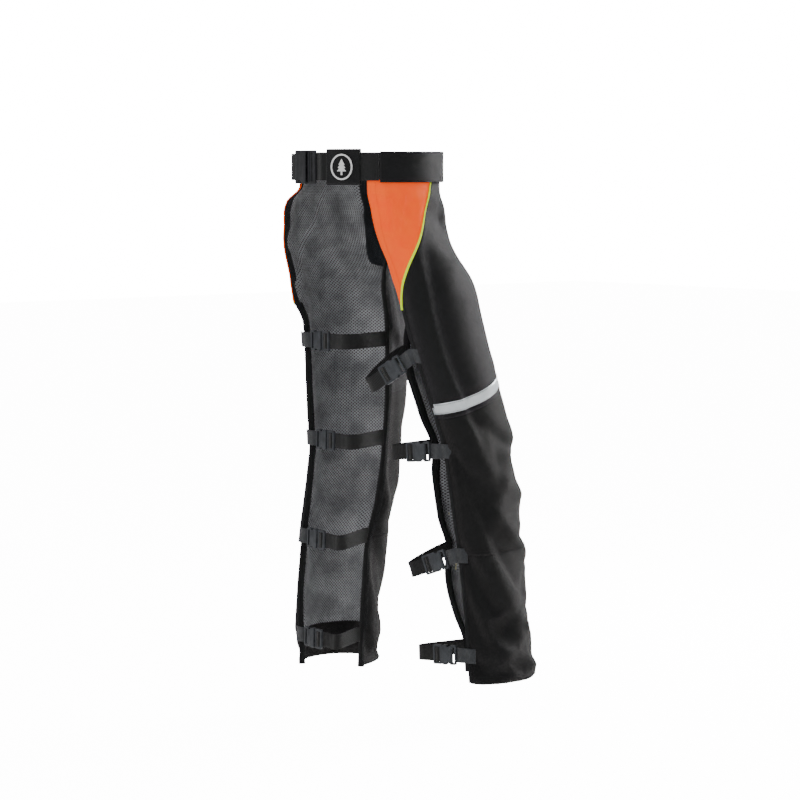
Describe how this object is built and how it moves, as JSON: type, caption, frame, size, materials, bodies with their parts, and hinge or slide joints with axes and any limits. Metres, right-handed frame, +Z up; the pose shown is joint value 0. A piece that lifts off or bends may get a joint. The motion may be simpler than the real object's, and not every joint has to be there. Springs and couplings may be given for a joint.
{
  "type": "chainsaw chaps",
  "caption": "Open-back chainsaw protective chaps: a buckled belt carrying padded leg panels that wrap the front of the legs and close behind with strap buckles.",
  "frame": {"origin": "middle of the waist oval at the belt's mid-height", "axes": "+Z up, the wearer faces -Y, the wearer's left is +X"},
  "size_m": [0.4103, 0.4182, 1.0179],
  "materials": {
    "black_waistband_cloth": "dense woven polyester",
    "black_webbing": "flat woven webbing",
    "black_ribbed_webbing": "ribbed woven webbing",
    "grey_webbing": "woven webbing",
    "black_plastic": "moulded acetal",
    "grey_plastic": "moulded acetal",
    "black_elastic": "woven elastic",
    "white_badge": "moulded soft badge",
    "black_shell_cloth": "dense woven polyester",
    "charcoal_shell_cloth": "abrasion-resistant woven nylon",
    "orange_cloth": "high-visibility woven polyester",
    "yellow_piping": "high-visibility piping",
    "silver_reflective_tape": "glass-bead reflective tape",
    "cut_resistant_felt": "layered warp-knit cut-resistant fibre",
    "grey_mesh": "warp-knit spacer mesh",
    "black_facing_cloth": "smooth woven polyester",
    "black_binding_tape": "folded grosgrain binding"
  },
  "bodies": {
    "belt": {"waistband": "black_waistband_cloth", "belt_webbing": "black_webbing", "belt_short_webbing": "black_webbing", "belt_buckle_plug": "black_plastic"},
    "belt_socket": {"belt_buckle_socket": "black_plastic"},
    "keeper": {"belt_keeper": "black_elastic", "keeper_badge": "white_badge"},
    "left_leg": {"left_thigh_shell": "black_shell_cloth", "left_knee_shell": "charcoal_shell_cloth", "left_shin_shell": "charcoal_shell_cloth", "left_hip_gusset": "orange_cloth", "left_hip_piping": "yellow_piping", "left_reflective_strip": "silver_reflective_tape", "left_protective_pad": "cut_resistant_felt", "left_mesh_lining": "grey_mesh", "left_belly_facing": "black_facing_cloth", "left_edge_binding": "black_binding_tape", "left_strap_tabs": "grey_webbing", "left_strap_sockets": "grey_plastic", "left_webbing_1": "black_ribbed_webbing", "left_webbing_2": "black_ribbed_webbing", "left_webbing_3": "black_ribbed_webbing", "left_webbing_4": "black_ribbed_webbing"},
    "left_strap_1_plug": {"left_plug_1": "grey_plastic"},
    "left_strap_2_plug": {"left_plug_2": "grey_plastic"},
    "left_strap_3_plug": {"left_plug_3": "grey_plastic"},
    "left_strap_4_plug": {"left_plug_4": "grey_plastic"},
    "right_leg": {"right_thigh_shell": "black_shell_cloth", "right_knee_shell": "charcoal_shell_cloth", "right_shin_shell": "charcoal_shell_cloth", "right_hip_gusset": "orange_cloth", "right_hip_piping": "yellow_piping", "right_reflective_strip": "silver_reflective_tape", "right_protective_pad": "cut_resistant_felt", "right_mesh_lining": "grey_mesh", "right_belly_facing": "black_facing_cloth", "right_edge_binding": "black_binding_tape", "right_strap_tabs": "grey_webbing", "right_strap_sockets": "grey_plastic", "right_webbing_1": "black_ribbed_webbing", "right_webbing_2": "black_ribbed_webbing", "right_webbing_3": "black_ribbed_webbing", "right_webbing_4": "black_ribbed_webbing"},
    "right_strap_1_plug": {"right_plug_1": "grey_plastic"},
    "right_strap_2_plug": {"right_plug_2": "grey_plastic"},
    "right_strap_3_plug": {"right_plug_3": "grey_plastic"},
    "right_strap_4_plug": {"right_plug_4": "grey_plastic"}
  },
  "joints": [
    {"name": "belt_buckle_release", "type": "slide", "parent": "belt", "child": "belt_socket", "axis": [0.9945, -0.1045, 0], "range_m": [0, 0.022]},
    {"name": "keeper_slide", "type": "hinge", "parent": "belt", "child": "keeper", "pos_m": [0, -0.085, 0], "axis": [0, 0, 1], "range_deg": [-2, 9]},
    {"name": "left_leg_swing", "type": "hinge", "parent": "belt", "child": "left_leg", "pos_m": [0, 0, -0.0285], "axis": [1, 0, 0], "range_deg": [-8, 8]},
    {"name": "left_strap_1_release", "type": "slide", "parent": "left_leg", "child": "left_strap_1_plug", "axis": [-0.9976, -0.0697, 0], "range_m": [0, 0.018]},
    {"name": "left_strap_2_release", "type": "slide", "parent": "left_leg", "child": "left_strap_2_plug", "axis": [-0.9974, -0.0696, -0.0175], "range_m": [0, 0.018]},
    {"name": "left_strap_3_release", "type": "slide", "parent": "left_leg", "child": "left_strap_3_plug", "axis": [-0.998, -0.0346, -0.0523], "range_m": [0, 0.018]},
    {"name": "left_strap_4_release", "type": "slide", "parent": "left_leg", "child": "left_strap_4_plug", "axis": [-0.9988, -0.0345, -0.0349], "range_m": [0, 0.018]},
    {"name": "right_leg_swing", "type": "hinge", "parent": "belt", "child": "right_leg", "pos_m": [0, 0, -0.0285], "axis": [1, 0, 0], "range_deg": [-8, 8]},
    {"name": "right_strap_1_release", "type": "slide", "parent": "right_leg", "child": "right_strap_1_plug", "axis": [0.7837, 0.2988, -0.5446], "range_m": [0, 0.018]},
    {"name": "right_strap_2_release", "type": "slide", "parent": "right_leg", "child": "right_strap_2_plug", "axis": [0.9255, 0.3724, -0.0698], "range_m": [0, 0.018]},
    {"name": "right_strap_3_release", "type": "slide", "parent": "right_leg", "child": "right_strap_3_plug", "axis": [0.8718, 0.3508, -0.342], "range_m": [0, 0.018]},
    {"name": "right_strap_4_release", "type": "slide", "parent": "right_leg", "child": "right_strap_4_plug", "axis": [0.9464, 0.3211, -0.0349], "range_m": [0, 0.018]}
  ]
}
